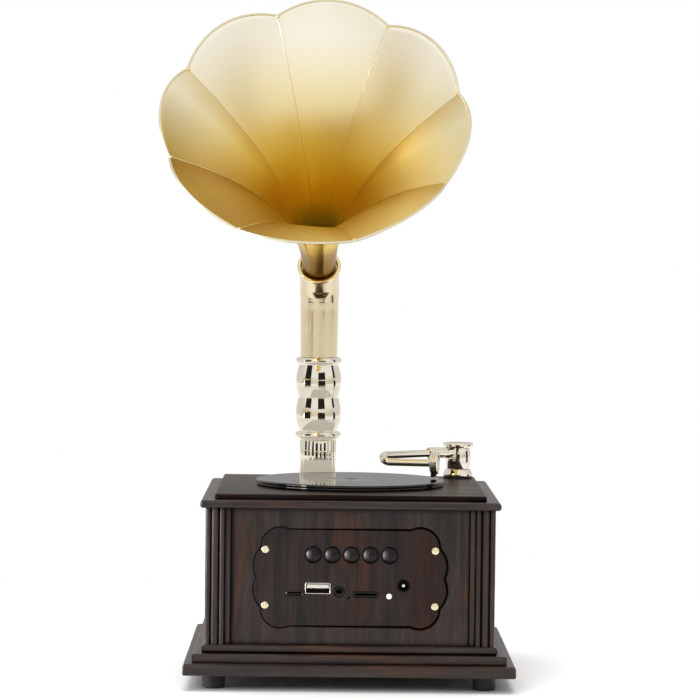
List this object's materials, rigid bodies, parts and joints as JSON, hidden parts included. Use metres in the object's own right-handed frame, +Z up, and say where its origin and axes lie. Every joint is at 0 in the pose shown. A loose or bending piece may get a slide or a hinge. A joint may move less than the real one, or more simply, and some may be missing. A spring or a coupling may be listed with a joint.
{
  "type": "record player",
  "caption": "Small square wooden record player with a petal horn on a turned column, a tone arm, a record and a front plate with buttons and sockets.",
  "frame": {"origin": "on the floor plane under the middle of the whole object's bounding box", "axes": "+X to the right as seen from the control side, +Y to the back, +Z up"},
  "size_m": [0.1905, 0.1974, 0.3659],
  "materials": {
    "dark_walnut": "satin lacquer over dark stained veneer",
    "rubber": "matt",
    "steel": "zinc plated",
    "ferrite": "matt sintered",
    "brass": "polished",
    "gold_plate": "satin gold plate over thin sheet",
    "champagne_nickel": "polished pale champagne plate",
    "button_black": "soft gloss",
    "gloss_black": "high gloss",
    "black_plastic": "moulded",
    "white_plastic": "moulded",
    "socket_shell": "bright tinned shell",
    "lamp_white": "diffusing",
    "circuit_green": "solder mask",
    "battery_wrap": "shrink wrap",
    "cone_black": "pressed paper"
  },
  "bodies": {
    "cabinet": {"base_board": "dark_walnut", "plinth_step": "dark_walnut", "plinth_bead": "dark_walnut", "front_board": "dark_walnut", "back_board": "dark_walnut", "left_board": "dark_walnut", "right_board": "dark_walnut", "post_front_left": "dark_walnut", "post_front_right": "dark_walnut", "post_back_left": "dark_walnut", "post_back_right": "dark_walnut", "top_board": "dark_walnut", "deck_board": "dark_walnut", "control_plate": "dark_walnut", "foot_front_left": "rubber", "foot_front_right": "rubber", "foot_back_left": "rubber", "foot_back_right": "rubber", "foot_screws": "steel", "speaker_frame": "steel", "speaker_screws": "steel", "motor_screws": "steel", "tie_tube": "steel", "tie_nuts": "steel", "arm_nut": "steel", "speaker_magnet": "ferrite", "gear_motor": "steel", "plate_screws": "brass", "bearing_bush": "brass", "column_ring": "champagne_nickel", "reeded_barrel": "champagne_nickel", "turned_baluster": "champagne_nickel", "arm_base": "champagne_nickel", "audio_socket": "black_plastic", "card_slot": "black_plastic", "power_socket": "black_plastic", "tact_switches": "black_plastic", "board_posts": "white_plastic", "charging_socket": "socket_shell", "usb_socket": "socket_shell", "status_lamp": "lamp_white", "circuit_board": "circuit_green", "battery": "battery_wrap", "speaker_cone": "cone_black"},
    "turntable": {"spindle": "steel", "platter": "gloss_black", "record": "gloss_black"},
    "horn": {"elbow": "champagne_nickel", "mouth_ring": "gold_plate", "horn": "gold_plate", "rim_wire": "gold_plate"},
    "tone_arm": {"arm_head": "champagne_nickel"},
    "gooseneck": {"gooseneck": "champagne_nickel", "sound_box": "champagne_nickel", "needle": "black_plastic"},
    "button_1": {"button_1": "button_black"},
    "button_2": {"button_2": "button_black"},
    "button_3": {"button_3": "button_black"},
    "button_4": {"button_4": "button_black"},
    "button_5": {"button_5": "button_black"}
  },
  "joints": [
    {"name": "record_spin", "type": "hinge", "parent": "cabinet", "child": "turntable", "pos_m": [0.00825, 0.01172, 0.1035], "axis": [0, 0, 1], "continuous": true},
    {"name": "horn_swivel", "type": "hinge", "parent": "cabinet", "child": "horn", "pos_m": [-0.00975, 0.07202, 0.175], "axis": [0, 0, 1], "continuous": true},
    {"name": "arm_swivel", "type": "hinge", "parent": "cabinet", "child": "tone_arm", "pos_m": [0.06975, 0.07172, 0.112], "axis": [0, 0, 1], "range_deg": [-25, 20]},
    {"name": "arm_lift", "type": "hinge", "parent": "tone_arm", "child": "gooseneck", "pos_m": [0.06975, 0.07172, 0.1166], "axis": [-0.788, -0.6157, 0], "range_deg": [0, 110]},
    {"name": "button_1_press", "type": "slide", "parent": "cabinet", "child": "button_1", "axis": [0, 1, 0], "range_m": [0, 0.0005], "stiffness_N_per_m": 400},
    {"name": "button_2_press", "type": "slide", "parent": "cabinet", "child": "button_2", "axis": [0, 1, 0], "range_m": [0, 0.0005], "stiffness_N_per_m": 400},
    {"name": "button_3_press", "type": "slide", "parent": "cabinet", "child": "button_3", "axis": [0, 1, 0], "range_m": [0, 0.0005], "stiffness_N_per_m": 400},
    {"name": "button_4_press", "type": "slide", "parent": "cabinet", "child": "button_4", "axis": [0, 1, 0], "range_m": [0, 0.0005], "stiffness_N_per_m": 400},
    {"name": "button_5_press", "type": "slide", "parent": "cabinet", "child": "button_5", "axis": [0, 1, 0], "range_m": [0, 0.0005], "stiffness_N_per_m": 400}
  ]
}
